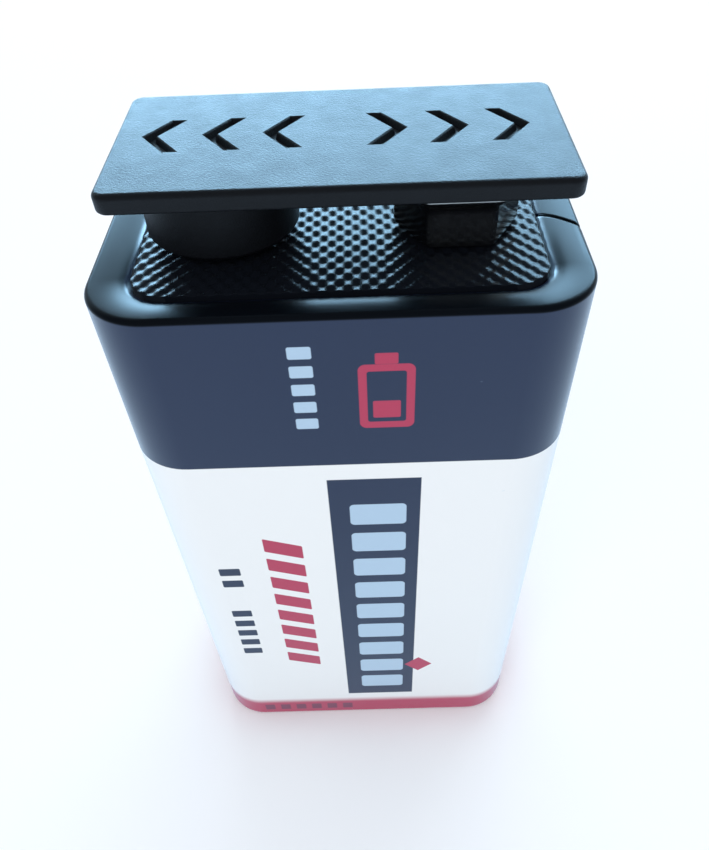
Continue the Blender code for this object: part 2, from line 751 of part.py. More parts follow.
card = material("card_grey", CARD_GREY, 0.8, 0)
card_x = INSIDE_X - SIDE_CLEARANCE
card_y = INSIDE_Y - SIDE_CLEARANCE
card_outline = rectangle(card_x, card_y, INSIDE_RADIUS - SIDE_CLEARANCE)
slots = [slot_outline(spots[0], positive), slot_outline(spots[-1], negative)]
slab("upper_insulator", [card_outline, *slots], UPPER_CARD_LEVEL, CARD, card)
slab("lower_insulator", [card_outline], LOWER_CARD_LEVEL, CARD, card)
board = material("base_board", MOULDED_BLACK, 0.5, 0)
base_outline = rectangle(
    WIDTH / 2 - BASE_RADIUS, DEPTH / 2 - BASE_RADIUS, CORNER_RADIUS - BASE_RADIUS
)
slab("base_plate", [base_outline], BASE_LEVEL, BASE_THICKNESS, board)

sleeve_ring = rectangle(SLEEVE_X, SLEEVE_Y, INSIDE_RADIUS - SIDE_CLEARANCE / 2)
sleeve_rings = [(sleeve_ring, UPPER_CARD_LEVEL - SEAT), (sleeve_ring, LOWER_STRAP_LEVEL)]
sleeve = loft("cell_sleeve", sleeve_rings, material("sleeve_white", SLEEVE_WHITE, 0.7, 0))
thicken(sleeve, SLEEVE)

make_cap()
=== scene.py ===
"""The finish of a nine volt block battery with its push-on terminal cap.

Metres, +Z up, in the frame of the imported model. The printed face looks along -Y,
the positive stud is at -X and the negative socket at +X. Prints and patterns in
the materials are given in millimetres, and angles between faces in degrees.
"""

import math

import bmesh
import bpy
from mathutils import Matrix, Vector


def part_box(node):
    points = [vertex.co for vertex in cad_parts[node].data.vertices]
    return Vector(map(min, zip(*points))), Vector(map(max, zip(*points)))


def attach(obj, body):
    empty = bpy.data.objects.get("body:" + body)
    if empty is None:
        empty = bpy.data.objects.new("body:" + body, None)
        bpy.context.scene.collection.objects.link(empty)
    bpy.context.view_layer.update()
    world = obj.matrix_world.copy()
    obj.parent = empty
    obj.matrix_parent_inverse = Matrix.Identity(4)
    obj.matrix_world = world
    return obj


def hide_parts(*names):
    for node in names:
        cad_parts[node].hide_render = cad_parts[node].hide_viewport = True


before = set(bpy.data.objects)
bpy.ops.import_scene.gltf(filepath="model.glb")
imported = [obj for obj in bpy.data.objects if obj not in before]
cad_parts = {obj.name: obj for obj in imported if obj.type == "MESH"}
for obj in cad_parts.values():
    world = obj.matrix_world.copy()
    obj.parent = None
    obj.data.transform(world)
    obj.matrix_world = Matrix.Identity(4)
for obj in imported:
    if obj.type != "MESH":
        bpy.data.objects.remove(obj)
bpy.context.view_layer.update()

# The camera, held close above the printed face and looking down at the cap.
# Its axis meets the photograph a little below the middle, so the lens is shifted.
PHOTO_WIDTH = 709
PHOTO_HEIGHT = 850
AXIS_RIGHT = 364.5
AXIS_DOWN = 525
FOCAL_PIXELS = 724.5
SENSOR = 36
NEAREST_SEEN = 0.001
CAMERA_AZIMUTH = math.radians(1.307)
CAMERA_ELEVATION = math.radians(51.01)
CAMERA_ROLL = math.radians(-2.742)
CAMERA_DISTANCE = 0.06079
CAMERA_TARGET = Vector((0.00055, 0, 0.01767))

lens = bpy.data.cameras.new("camera")
lens.sensor_width = SENSOR
lens.lens = FOCAL_PIXELS * SENSOR / PHOTO_HEIGHT
lens.shift_x = (PHOTO_WIDTH / 2 - AXIS_RIGHT) / PHOTO_HEIGHT
lens.shift_y = (AXIS_DOWN - PHOTO_HEIGHT / 2) / PHOTO_HEIGHT
lens.clip_start = NEAREST_SEEN
camera = bpy.data.objects.new("camera", lens)
bpy.context.scene.collection.objects.link(camera)
bpy.context.scene.camera = camera
swing = Matrix.Rotation(CAMERA_AZIMUTH, 3, "Z")
tip = Matrix.Rotation(math.pi / 2 - CAMERA_ELEVATION, 3, "X")
aim = swing @ tip @ Matrix.Rotation(CAMERA_ROLL, 3, "Z")
stand = CAMERA_TARGET + aim @ Vector((0, 0, CAMERA_DISTANCE))
camera.matrix_world = Matrix.Translation(stand) @ aim.to_4x4()
bpy.context.scene.view_settings.view_transform = "Standard"


# The table that the battery stands on: a pale sheet that fills the view and keeps the
# battery's soft shadow. The camera and the battery's gloss see it a little brighter than
# its light makes it, and the gloss sees it blue.
MILLIMETRE = 0.001
TABLE_REACH = 1.5
TABLE_WHITE = (0.85, 0.87, 0.89, 1)
TABLE_SHEEN = (0.64, 0.83, 1, 1)
TABLE_GLOW = (1, 0.94, 0.88, 1)
TABLE_LIFT = 0.1


class Field:
    """A number that changes over a surface, with Python's operators on it."""

    def __init__(self, recipe, socket):
        self.recipe = recipe
        self.socket = socket

    def other(self, output):
        """Another output of the same node."""
        return Field(self.recipe, self.socket.node.outputs[output])

    def __add__(self, other):
        return self.recipe.maths("ADD", self, other)

    __radd__ = __add__

    def __sub__(self, other):
        return self.recipe.maths("SUBTRACT", self, other)

    def __rsub__(self, other):
        return self.recipe.maths("SUBTRACT", other, self)

    def __mul__(self, other):
        return self.recipe.maths("MULTIPLY", self, other)

    __rmul__ = __mul__

    def __truediv__(self, other):
        return self.recipe.maths("DIVIDE", self, other)

    def __pow__(self, other):
        return self.recipe.maths("POWER", self, other)

    def __abs__(self):
        return self.recipe.maths("ABSOLUTE", self)

    def __or__(self, other):
        return self.recipe.maths("MAXIMUM", self, other)

    def repeat(self, pitch):
        """The same stretch again and again, from minus to plus half a pitch."""
        return (self.recipe.maths("FRACT", self / pitch + 0.5) - 0.5) * pitch


class Recipe:
    """A node tree, the one way to add a node to it, and the patterns the pieces share."""

    def __init__(self, tree):
        self.tree = tree

    def feed(self, socket, value):
        """Links a field to a socket, or writes a plain value on it."""
        if isinstance(value, Field):
            self.tree.links.new(value.socket, socket)
        else:
            socket.default_value = value

    def node(self, kind, settings, sockets, output=0):
        """A node of any type: its settings, then what each socket holds or is fed by."""
        made = self.tree.nodes.new(kind)
        for name, value in settings.items():
            setattr(made, name, value)
        for name, value in sockets.items():
            self.feed(made.inputs[name], value)
        return Field(self, made.outputs[output]) if made.outputs else None

    def maths(self, operation, first, second=0.0):
        """One step of arithmetic on fields or numbers."""
        return self.node("ShaderNodeMath", {"operation": operation}, {0: first, 1: second})

    def parts(self, vector):
        """The three numbers of a vector."""
        x = self.node("ShaderNodeSeparateXYZ", {}, {0: vector})
        return x, x.other("Y"), x.other("Z")

    def rays(self):
        """Two masks: what the camera sees, through glass too, and what gloss reflects."""
        ray = self.node("ShaderNodeLightPath", {}, {}, "Is Camera Ray")
        return ray | ray.other("Is Transmission Ray"), ray.other("Is Glossy Ray")

    def spot(self):
        """The surface's own coordinates, as a vector in millimetres."""
        own = self.node("ShaderNodeTexCoord", {}, {}, "Object")
        sockets = {0: own, "Scale": 1 / MILLIMETRE}
        return self.node("ShaderNodeVectorMath", {"operation": "SCALE"}, sockets)

    def rise(self, value, at, blur):
        """0 below a level and 1 above it, with a soft edge."""
        spread = {"Value": value, "From Min": at - blur / 2, "From Max": at + blur / 2}
        return self.node("ShaderNodeMapRange", {"interpolation_type": "SMOOTHSTEP"}, spread)

    def between(self, value, low, high, blur):
        """1 from one level to another, with soft edges."""
        return self.rise(value, low, blur) * (1 - self.rise(value, high, blur))

    def tile(self, across, along, half_across, half_along, corner, blur):
        """1 inside a rectangle about the zero of both fields, with rounded corners."""
        beside = (abs(across) - (half_across - corner)) | 0.0
        beyond = (abs(along) - (half_along - corner)) | 0.0
        return 1 - self.rise((beside * beside + beyond * beyond) ** 0.5, corner, blur)

    def speckle(self, spot, size, detail=2.0, roughness=0.5):
        """Smooth noise from 0 to 1 whose patches are about a size in millimetres."""
        sockets = {"Vector": spot, "Scale": 1 / size, "Detail": detail, "Roughness": roughness}
        return self.node("ShaderNodeTexNoise", {}, sockets)

    def drawn_out(self, spot, scale, turn=(0, 0, 0)):
        """The coordinates squeezed or turned, for marks that run one way."""
        sockets = {"Vector": spot, "Rotation": turn, "Scale": scale}
        return self.node("ShaderNodeMapping", {}, sockets)

    def mix(self, factor, first, second):
        """One colour over another. The node's colours are its inputs 6 and 7, output 2."""
        sockets = {0: factor, 6: first, 7: second}
        return self.node("ShaderNodeMix", {"data_type": "RGBA"}, sockets, 2)

    def relief(self, height, depth):
        """A bump whose height field, from 0 to 1, stands for a depth in millimetres."""
        sockets = {"Distance": depth * MILLIMETRE, "Height": height}
        return self.node("ShaderNodeBump", {}, sockets)


table_finish = bpy.data.materials.new("pale_table")
table_finish.use_nodes = True
table_finish.node_tree.nodes.remove(table_finish.node_tree.nodes["Principled BSDF"])
tabletop = Recipe(table_finish.node_tree)
seen, glossy = tabletop.rays()
table_colour = tabletop.mix(glossy, TABLE_WHITE, TABLE_SHEEN)
paint = tabletop.node("ShaderNodeBsdfDiffuse", {}, {"Color": table_colour})
glow = {"Color": TABLE_GLOW, "Strength": (seen | glossy) * TABLE_LIFT}
lift = tabletop.node("ShaderNodeEmission", {}, glow)
lit_table = tabletop.node("ShaderNodeAddShader", {}, {0: paint, 1: lift})
tabletop.feed(tabletop.tree.nodes["Material Output"].inputs["Surface"], lit_table)

table_mesh = bmesh.new()
bmesh.ops.create_grid(table_mesh, x_segments=1, y_segments=1, size=TABLE_REACH)
table_data = bpy.data.meshes.new("table")
table_mesh.to_mesh(table_data)
table_mesh.free()
table_data.materials.append(table_finish)
table = bpy.data.objects.new("table", table_data)
bpy.context.scene.collection.objects.link(table)

# The light: an even pale room, a low window behind the battery that gives only the blue
# sheen on the cap and the plate, soft daylight from there, and a soft panel in front.
ROOM_COLOUR = (0.86, 0.92, 1, 1)
ROOM_WHITE = (0.97, 0.985, 1, 1)
ROOM_SHEEN = (0.66, 0.84, 1, 1)
ROOM_FILL = 0.87
ROOM_DIM = 0.25
ROOM_BACK = (0.2, 0.6)
WINDOW_COLOUR = (0.38, 0.71, 1)
WINDOW_PLACE = (0.06, 0.6, 0.28)
WINDOW_SIZE = (1.0, 0.22)
WINDOW_ROLL = math.radians(-15)
WINDOW_RADIANCE = 17
DAYLIGHT_COLOUR = (0.82, 0.9, 1)
DAYLIGHT_PLACE = (0.1, 0.5, 0.4)
DAYLIGHT_SIZE = (0.6, 0.4)
DAYLIGHT_RADIANCE = 2.1
PANEL_COLOUR = (1, 0.98, 0.97)
PANEL_PLACE = (-0.14, -0.4, 0.36)
PANEL_SIZE = (0.4, 0.3)
PANEL_RADIANCE = 1.7

room = bpy.data.worlds.new("room")
bpy.context.scene.world = room
room.use_nodes = True
air = Recipe(room.node_tree)
seen, glossy = air.rays()
heading = air.node("ShaderNodeTexCoord", {}, {}, "Generated")
towards_back = {"Value": air.parts(heading)[1], "From Min": ROOM_BACK[0], "From Max": ROOM_BACK[1]}
behind = air.node("ShaderNodeMapRange", {}, towards_back)
sheen = (behind * (1 - ROOM_DIM) + ROOM_DIM) * glossy
backdrop = room.node_tree.nodes["Background"]
tint = air.mix(glossy, ROOM_COLOUR, ROOM_SHEEN)
air.feed(backdrop.inputs["Color"], air.mix(seen, tint, ROOM_WHITE))
air.feed(backdrop.inputs["Strength"], (seen + sheen) | ((1 - (seen | glossy)) * ROOM_FILL))


def lamp(name, size, place, colour, radiance, roll=0.0):
    """A soft rectangular lamp that faces the top of the battery."""
    data = bpy.data.lights.new(name, "AREA")
    data.shape = "RECTANGLE"
    data.size, data.size_y = size
    data.color = colour
    data.energy = radiance * math.pi * data.size * data.size_y
    made = bpy.data.objects.new(name, data)
    bpy.context.scene.collection.objects.link(made)
    target = Vector((0, 0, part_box("jacket")[1].z))
    made.location = place
    facing = (target - Vector(place)).to_track_quat("-Z", "Y").to_matrix()
    made.rotation_euler = (facing @ Matrix.Rotation(roll, 3, "Z")).to_euler()
    made.visible_camera = False
    return made


window = lamp("window", WINDOW_SIZE, WINDOW_PLACE, WINDOW_COLOUR, WINDOW_RADIANCE, WINDOW_ROLL)
window.visible_diffuse = False
daylight = lamp("daylight", DAYLIGHT_SIZE, DAYLIGHT_PLACE, DAYLIGHT_COLOUR, DAYLIGHT_RADIANCE)
daylight.visible_glossy = False
panel = lamp("panel", PANEL_SIZE, PANEL_PLACE, PANEL_COLOUR, PANEL_RADIANCE)
panel.visible_glossy = False


# The jacket: one sheet of tinplate, printed and lacquered flat, then folded round the
# cells with a butt seam on the right narrow side. Its top is rolled over into a rim that
# falls a little towards its opening, and its foot is curled under, print and all.
JACKET_SHEET = 0.0003
JACKET_CORNER = 0.0036
RIM_BEND = 0.0003
RIM_WIDTH = 0.0022
ROLL_WIDTH = RIM_WIDTH - RIM_BEND
ROLL_DROP = 0.0006
HEM_DEPTH = 0.0008
OPENING_CORNER = 0.0021
FOOT_RADIUS = 0.0006
FOOT_LAND = 0.0016
SEAM_PLACE = -0.0012
SEAM_SLANT = 0.94
SEAM_GAP = 0.00012
SEAM_DIP = 0.00006
SEAM_SPREAD = 0.0002
BAND_HEIGHT = 0.0103
CORNER_STEPS = 16
SEAM_STEPS = 6
ROLL_STEPS = 14
RIM_STEPS = 10
FOOT_STEPS = 8
JACKET_SHARP = 40

jacket_low, jacket_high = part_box("jacket")
foot_level = jacket_low.z
rim_level = jacket_high.z
band_level = rim_level - BAND_HEIGHT


def rounded_outline(half_x, half_y, radius, steps):
    """A rounded rectangle about the origin, anticlockwise from its +X, +Y corner."""
    points = []
    for quarter, (side_x, side_y) in enumerate(((1, 1), (-1, 1), (-1, -1), (1, -1))):
        centre = Vector((side_x * (half_x - radius), side_y * (half_y - radius)))
        for step in range(steps + 1):
            angle = math.pi / 2 * (quarter + step / steps)
            points.append(centre + radius * Vector((math.cos(angle), math.sin(angle))))
    return points


def at_level(outline, level, shift=(0, 0)):
    """A flat outline lifted to a level, as the ring of a skin."""
    return [(point.x + shift[0], point.y + shift[1], level) for point in outline]


def skin(name, rings, closed_rings=True, top=False, floor=False, looped=False):
    """A mesh object through rings of points that run down its outer side."""
    shape = bmesh.new()
    rows = [[shape.verts.new(point) for point in ring] for ring in rings]
    count = len(rows[0])
    lower_rows = [*rows[1:], rows[0]] if looped else rows[1:]
    for upper, lower in zip(rows, lower_rows):
        for index in range(count if closed_rings else count - 1):
            following = (index + 1) % count
            corners = (upper[index], lower[index], lower[following], upper[following])
            shape.faces.new(corners)
    if top:
        shape.faces.new(rows[0])
    if floor:
        shape.faces.new(reversed(rows[-1]))
    data = bpy.data.meshes.new(name)
    shape.to_mesh(data)
    shape.free()
    made = bpy.data.objects.new(name, data)
    bpy.context.scene.collection.objects.link(made)
    return made


def made_plain(piece):
    """Turns a piece and its modifiers into one plain mesh."""
    graph = bpy.context.evaluated_depsgraph_get()
    data = bpy.data.meshes.new_from_object(piece.evaluated_get(graph))
    piece.modifiers.clear()
    piece.data = data


def walled(piece, thickness):
    """Gives a skin its wall, on the inside."""
    wall = piece.modifiers.new("Sheet", "SOLIDIFY")
    wall.thickness = thickness
    wall.offset = -1
    wall.use_even_offset = True
    return piece


def settled(piece, sharp_angle):
    """Makes a piece plain, with smooth shading where its faces meet below an angle."""
    made_plain(piece)
    piece.data.shade_smooth()
    piece.data.set_sharp_from_angle(angle=math.radians(sharp_angle))
    even = piece.modifiers.new("Even shading", "WEIGHTED_NORMAL")
    even.keep_sharp = True
    made_plain(piece)
    return piece


def bend(inset, level, across_radius, drop, start, end, steps):
    """Points of a section's bend, each with the direction that its skin faces."""
    points = []
    for step in range(steps + 1):
        facing = math.radians(start + (end - start) * step / steps)
        across = inset - across_radius * math.cos(facing)
        points.append((across, level + drop * math.sin(facing), facing))
    return points


def jacket_ring(inset, level, facing):
    """The folded sheet at one inset and level. Both seam edges are drawn in a little."""
    half_x = jacket_high.x - inset
    radius = JACKET_CORNER - inset / RIM_WIDTH * (JACKET_CORNER - OPENING_CORNER)
    outline = rounded_outline(half_x, jacket_high.y - inset, radius, CORNER_STEPS)
    on_the_rim = facing > 0
    seam = SEAM_PLACE + SEAM_SLANT * inset if on_the_rim else SEAM_PLACE
    edges = {}
    for side in (1, -1):
        edges[side] = []
        for step in range(SEAM_STEPS + 1):
            away = SEAM_SPREAD * (step / SEAM_STEPS) ** 2
            dip = SEAM_DIP * (1 - away / SEAM_SPREAD) ** 2
            x = half_x - dip * math.cos(facing)
            y = seam + side * (SEAM_GAP / 2 + away)
            edges[side].append((x, y, level - dip * math.sin(facing)))
    return [*edges[1], *at_level(outline, level), *reversed(edges[-1])]


section = [(RIM_WIDTH, rim_level - HEM_DEPTH, math.pi)]
section += bend(RIM_BEND, rim_level - ROLL_DROP, ROLL_WIDTH, ROLL_DROP, 180, 90, ROLL_STEPS)
section += bend(RIM_BEND, rim_level - RIM_BEND, RIM_BEND, RIM_BEND, 90, 0, RIM_STEPS)[1:]
section.append((0, band_level, 0))
section += bend(FOOT_RADIUS, foot_level + FOOT_RADIUS, FOOT_RADIUS, FOOT_RADIUS, 0, -90, FOOT_STEPS)
section.append((FOOT_RADIUS + FOOT_LAND, foot_level, -math.pi / 2))
jacket = skin("printed_jacket", [jacket_ring(*row) for row in section], closed_rings=False)
settled(walled(jacket, JACKET_SHEET), JACKET_SHARP)


def new_finish(name, specular=0.5, metallic=0.0):
    """A Principled material, with the numbers that are the same all over it."""
    material = bpy.data.materials.new(name)
    material.use_nodes = True
    surface = material.node_tree.nodes["Principled BSDF"].inputs
    surface["Metallic"].default_value = metallic
    surface["Specular IOR Level"].default_value = specular
    return material, surface, Recipe(material.node_tree)


# Print on the jacket, in millimetres: plain fields of colour and simple shapes
PRINT_WHITE = (0.9, 0.9, 0.88, 1)
PRINT_BLACK = (0.009, 0.018, 0.055, 1)
PRINT_RED = (0.47, 0.032, 0.085, 1)
PRINT_PALE = (0.45, 0.6, 0.74, 1)
PRINT_EDGE = 0.06
CRISP_CORNER = 0.1
FACE_START = 7.0
FACE_EDGE = 0.2
# Painted shade and painted dark reflection: the rim is painted near black, darker than the band's
# print
RIM_PAINTED_SHADE = (0.002, 0.003, 0.005, 1)
RIM_START = 44.02
RIM_BLUR = 0.12
STRIPE_TOP = 2.8
STRIPE_EDGE = 1.1
BOARD_LEFT = -1.42
BOARD_RIGHT = 4.33
BOARD_FOOT = 4.0
BOARD_TOP = 32.7
BLOCKS = 9
BLOCKS_ASIDE = 0.2
BLOCKS_START = 4.95
BLOCK_PITCH = 2.87
BLOCK_HALF = (1.8, 1.0)
BLOCK_CORNER = 0.3
SLANTS = 8
SLANTS_START = 9.7
SLANT_PITCH = 2.17
SLANT_PLACE = -4.83
SLANT_LEAN = 0.35
SLANT_HALF = (1.3, 0.7)
DASH_PLACE = -8.9
DASH_HALF = (0.75, 0.42)
DASH_PITCH = 1.42
DASH_GROUPS = ((11.6, 5), (21.3, 2))
DIAMOND_PLACE = (4.75, 9.25)
DIAMOND_REACH = 1.15
STAMPS = 6
STAMPS_LEFT = -9.6
STAMPS_LEVEL = 1.55
STAMP_PITCH = 1.45
STAMP_HALF = (0.45, 0.5)
STAMP_BLUR = 0.1
STAMP_STRENGTH = 0.6
SIGN_PLACE = 2.27
SIGN_FOOT = 36.9
SIGN_TOP = 41.3
SIGN_HALF = 1.5
SIGN_LINE = 0.45
SIGN_CORNER = 0.4
SIGN_INNER_CORNER = 0.15
NUB_HALF = (0.6, 0.35)
CHARGE_HALF = (0.75, 0.6)
CHARGE_RISE = 1.35
TICKS = 5
TICKS_PLACE = -2.15
TICKS_START = 36.75
TICK_PITCH = 1.2
TICK_HALF = (0.62, 0.38)
TICK_CORNER = 0.12

# Lacquer over the print: specks of dust, an uneven shine, and a waviness like orange peel
SPECK_SIZE = 0.9
SPECK_START = 0.84
SPECK_EDGE = 0.03
SPECK_STRENGTH = 0.2
LACQUER_SPECULAR = 0.1
LACQUER_COAT = 0.8
LACQUER_COAT_ROUGHNESS = 0.2
LACQUER_ROUGHNESS = 0.27
HANDLED_SIZE = 5.0
HANDLED_ROUGHNESS = 0.12
RIM_SMOOTHER = 0.03
PEEL_SIZES = (0.5, 7.0)
PEEL_SHARES = (0.25, 3.5)
PEEL_DEPTH = 0.004

tinplate, surface, ink = new_finish("printed_tinplate", LACQUER_SPECULAR)
spot = ink.spot()
x, y, z = ink.parts(spot)


def fill(first, mask, second, over=None):
    """Lays a colour inside a mask, on the printed face alone if one is given: print, dust and the
    rim's painted shade.
    """
    return ink.mix(mask * over if over else mask, first, second)


def block_of(across, along, half, corner=CRISP_CORNER):
    """A printed block about the zero of both fields."""
    return ink.tile(across, along, *half, corner, PRINT_EDGE)


def row_of(place, start, count, pitch, half, corner=CRISP_CORNER):
    """A column of like rounded blocks up the face, centred on an x."""
    middle = start + pitch / 2
    block = block_of(x - place, (z - middle).repeat(pitch), half, corner)
    return block * ink.between(z, start, start + count * pitch, PRINT_EDGE)


face = ink.rise(-1 * y, FACE_START, FACE_EDGE)
colour = ink.mix(ink.rise(z, band_level / MILLIMETRE, PRINT_EDGE), PRINT_WHITE, PRINT_BLACK)
colour = fill(colour, 1 - ink.rise(z, STRIPE_TOP, STRIPE_EDGE), PRINT_RED)

board = ink.between(x, BOARD_LEFT, BOARD_RIGHT, PRINT_EDGE)
board = board * ink.between(z, BOARD_FOOT, BOARD_TOP, PRINT_EDGE)
colour = fill(colour, board, PRINT_BLACK, face)
blocks_place = (BOARD_LEFT + BOARD_RIGHT) / 2 + BLOCKS_ASIDE
blocks = row_of(blocks_place, BLOCKS_START, BLOCKS, BLOCK_PITCH, BLOCK_HALF, BLOCK_CORNER)
colour = fill(colour, blocks, PRINT_PALE, face)

lean = z - SLANTS_START - SLANT_PITCH / 2 + (x - SLANT_PLACE) * SLANT_LEAN
slants = block_of(x - SLANT_PLACE, lean.repeat(SLANT_PITCH), SLANT_HALF)
slants = slants * ink.between(lean, -SLANT_PITCH / 2, (SLANTS - 0.5) * SLANT_PITCH, PRINT_EDGE)
colour = fill(colour, slants, PRINT_RED, face)
for start, count in DASH_GROUPS:
    dashes = row_of(DASH_PLACE, start, count, DASH_PITCH, DASH_HALF)
    colour = fill(colour, dashes, PRINT_BLACK, face)
diamond = abs(x - DIAMOND_PLACE[0]) + abs(z - DIAMOND_PLACE[1])
colour = fill(colour, 1 - ink.rise(diamond, DIAMOND_REACH, PRINT_EDGE), PRINT_RED, face)

across = (x - STAMPS_LEFT - STAMP_PITCH / 2).repeat(STAMP_PITCH)
stamps = ink.tile(across, z - STAMPS_LEVEL, *STAMP_HALF, CRISP_CORNER, STAMP_BLUR)
stamps = stamps * ink.between(x, STAMPS_LEFT, STAMPS_LEFT + STAMPS * STAMP_PITCH, PRINT_EDGE)
colour = fill(colour, stamps * STAMP_STRENGTH, PRINT_BLACK, face)

across = x - SIGN_PLACE
along = z - (SIGN_FOOT + SIGN_TOP) / 2
half_height = (SIGN_TOP - SIGN_FOOT) / 2
sign = block_of(across, along, (SIGN_HALF, half_height), SIGN_CORNER)
inner_half = (SIGN_HALF - SIGN_LINE, half_height - SIGN_LINE)
sign = sign * (1 - block_of(across, along, inner_half, SIGN_INNER_CORNER))
nub = block_of(across, z - SIGN_TOP - NUB_HALF[1], NUB_HALF)
charge = block_of(across, z - SIGN_FOOT - CHARGE_RISE, CHARGE_HALF)
colour = fill(colour, (sign | nub) | charge, PRINT_RED, face)
ticks = row_of(TICKS_PLACE, TICKS_START, TICKS, TICK_PITCH, TICK_HALF, TICK_CORNER)
colour = fill(colour, ticks, PRINT_PALE, face)

# Painted shade and painted dark reflection on the rim: its colour goes near black above a level. The
# same mask makes the rim a little smoother and takes the coat off it
rim = ink.rise(z, RIM_START, RIM_BLUR)
colour = fill(colour, rim, RIM_PAINTED_SHADE)
speck = ink.rise(ink.speckle(spot, SPECK_SIZE, detail=1.0), SPECK_START, SPECK_EDGE)
colour = fill(colour, speck * SPECK_STRENGTH, PRINT_PALE)
ink.feed(surface["Base Color"], colour)
handled = ink.speckle(spot, HANDLED_SIZE, detail=3.0)
shine = LACQUER_ROUGHNESS + handled * HANDLED_ROUGHNESS - rim * RIM_SMOOTHER
ink.feed(surface["Roughness"], shine)
ink.feed(surface["Coat Weight"], (1 - rim) * LACQUER_COAT)
surface["Coat Roughness"].default_value = LACQUER_COAT_ROUGHNESS
fine_peel = ink.speckle(spot, PEEL_SIZES[0], detail=2.0) * PEEL_SHARES[0]
broad_peel = ink.speckle(spot, PEEL_SIZES[1], detail=1.0) * PEEL_SHARES[1]
ink.feed(surface["Normal"], ink.relief(fine_peel + broad_peel, PEEL_DEPTH))
jacket.data.materials.append(tinplate)

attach(jacket, "battery")
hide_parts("jacket")


# The terminal plate: a black moulded lid held down by the rim. Its panel is covered by a
# grid of small raised diamonds, soft waves that cross each other.
PAD_WIDTH = 0.00087
PAD_LENGTH = 0.00107
PAD_RISE = 0.00009
PAD_STEPS = 8
PADS_SHARP = 40
PANEL_RECESS = 0.0001
PANEL_RISE = 0.0008
PANEL_GAP = 0.00004
PANEL_STEPS = 10
PANEL_BLOCK = 1.5 * PANEL_RISE
TRIM_REACH = 3 * PANEL_RISE
PLATE_THICKNESS = 0.0016
PLATE_SKIRT = 0.001
PLATE_STEPS = 12
PLATE_SHARP = 25
BORE_RADIUS = 0.00135
BORE_STEPS = 48
MERGE_REACH = 0.000001
BLACK_PLASTIC = (0.006, 0.0075, 0.011, 1)
PLASTIC_SPECULAR = 0.08
PLASTIC_ROUGHNESS = 0.16
PLASTIC_CLOUD_SIZE = 1.8
PLASTIC_CLOUD_ROUGHNESS = 0.14
PLASTIC_GRAIN_SIZE = 0.06
PLASTIC_GRAIN_DEPTH = 0.006

plate_low, plate_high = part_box("terminal_plate")
panel_level = rim_level - PANEL_RECESS
panel_half_x = jacket_high.x - RIM_WIDTH - PANEL_GAP
panel_half_y = jacket_high.y - RIM_WIDTH - PANEL_GAP
panel_radius = OPENING_CORNER - PANEL_GAP
flange_level = panel_level - PANEL_RISE
plate_under = panel_level - PLATE_THICKNESS


def pads_tree():
    """The tree that makes a solid block whose top is the grid of raised diamonds."""
    tree = bpy.data.node_groups.new("studded_block", "GeometryNodeTree")
    tree.is_modifier = True
    tree.interface.new_socket(name="Geometry", in_out="INPUT", socket_type="NodeSocketGeometry")
    for name in ("Width", "Length", "Rise", "Block", "Half X", "Half Y"):
        tree.interface.new_socket(name=name, in_out="INPUT", socket_type="NodeSocketFloat")
    tree.interface.new_socket(name="Finish", in_out="INPUT", socket_type="NodeSocketMaterial")
    tree.interface.new_socket(name="Geometry", in_out="OUTPUT", socket_type="NodeSocketGeometry")
    maker = Recipe(tree)
    width = maker.node("NodeGroupInput", {}, {}, "Width")
    length = width.other("Length")
    columns = maker.maths("CEIL", width.other("Half X") / width + 0.5) * 2
    rows = maker.maths("CEIL", width.other("Half Y") / length + 0.5) * 2
    spread = {
        "Size X": columns * width,
        "Size Y": rows * length,
        "Vertices X": columns * PAD_STEPS + 1,
        "Vertices Y": rows * PAD_STEPS + 1,
    }
    grid = maker.node("GeometryNodeMeshGrid", {}, spread)
    raised = {"Mesh": grid, "Offset Scale": width.other("Block"), "Individual": False}
    solid = maker.node("GeometryNodeExtrudeMesh", {"mode": "FACES"}, raised)
    place = maker.parts(maker.node("GeometryNodeInputPosition", {}, {}))
    across = maker.maths("COSINE", place[0] * (2 * math.pi) / width)
    along = maker.maths("COSINE", place[1] * (2 * math.pi) / length)
    lift = (across * along - 1) * width.other("Rise") * 0.5
    waved = {"Geometry": solid, "Selection": solid.other("Top")}
    waved["Offset"] = maker.node("ShaderNodeCombineXYZ", {}, {"Z": lift})
    solid = maker.node("GeometryNodeSetPosition", {}, waved)
    under = maker.node("GeometryNodeFlipFaces", {}, {"Mesh": grid})
    whole = maker.node("GeometryNodeJoinGeometry", {}, {0: under})
    maker.feed(whole.socket.node.inputs[0], solid)
    merged = {"Geometry": whole, "Distance": MERGE_REACH}
    welded = maker.node("GeometryNodeMergeByDistance", {}, merged)
    facets = maker.node("GeometryNodeTriangulate", {}, {"Mesh": welded})
    real = maker.node("GeometryNodeRealizeInstances", {}, {"Geometry": facets})
    painted = {"Geometry": real, "Material": width.other("Finish")}
    dressed = maker.node("GeometryNodeSetMaterial", {}, painted)
    maker.node("NodeGroupOutput", {}, {"Geometry": dressed})
    return tree


def made_by_tree(piece, tree, sizes):
    """Makes a piece with a Geometry Nodes tree, whose inputs are set by identifier."""
    change = piece.modifiers.new(tree.name, "NODES")
    change.node_group = tree
    for socket in tree.interface.items_tree:
        if socket.name in sizes:
            change[socket.identifier] = sizes[socket.name]
    # The waves keep this shading when they are cut, so it isn't left to the end
    settled(piece, PADS_SHARP)


def joined(piece, tool, operation):
    """Cuts, joins or trims a piece with a tool, which is then thrown away."""
    change = piece.modifiers.new(operation, "BOOLEAN")
    change.operation = operation
    change.solver = "EXACT"
    change.object = tool
    made_plain(piece)
    bpy.data.objects.remove(tool)


def circle(radius, count):
    """A round outline about the origin, anticlockwise."""
    turns = [2 * math.pi * step / count for step in range(count)]
    return [Vector((radius * math.cos(turn), radius * math.sin(turn))) for turn in turns]


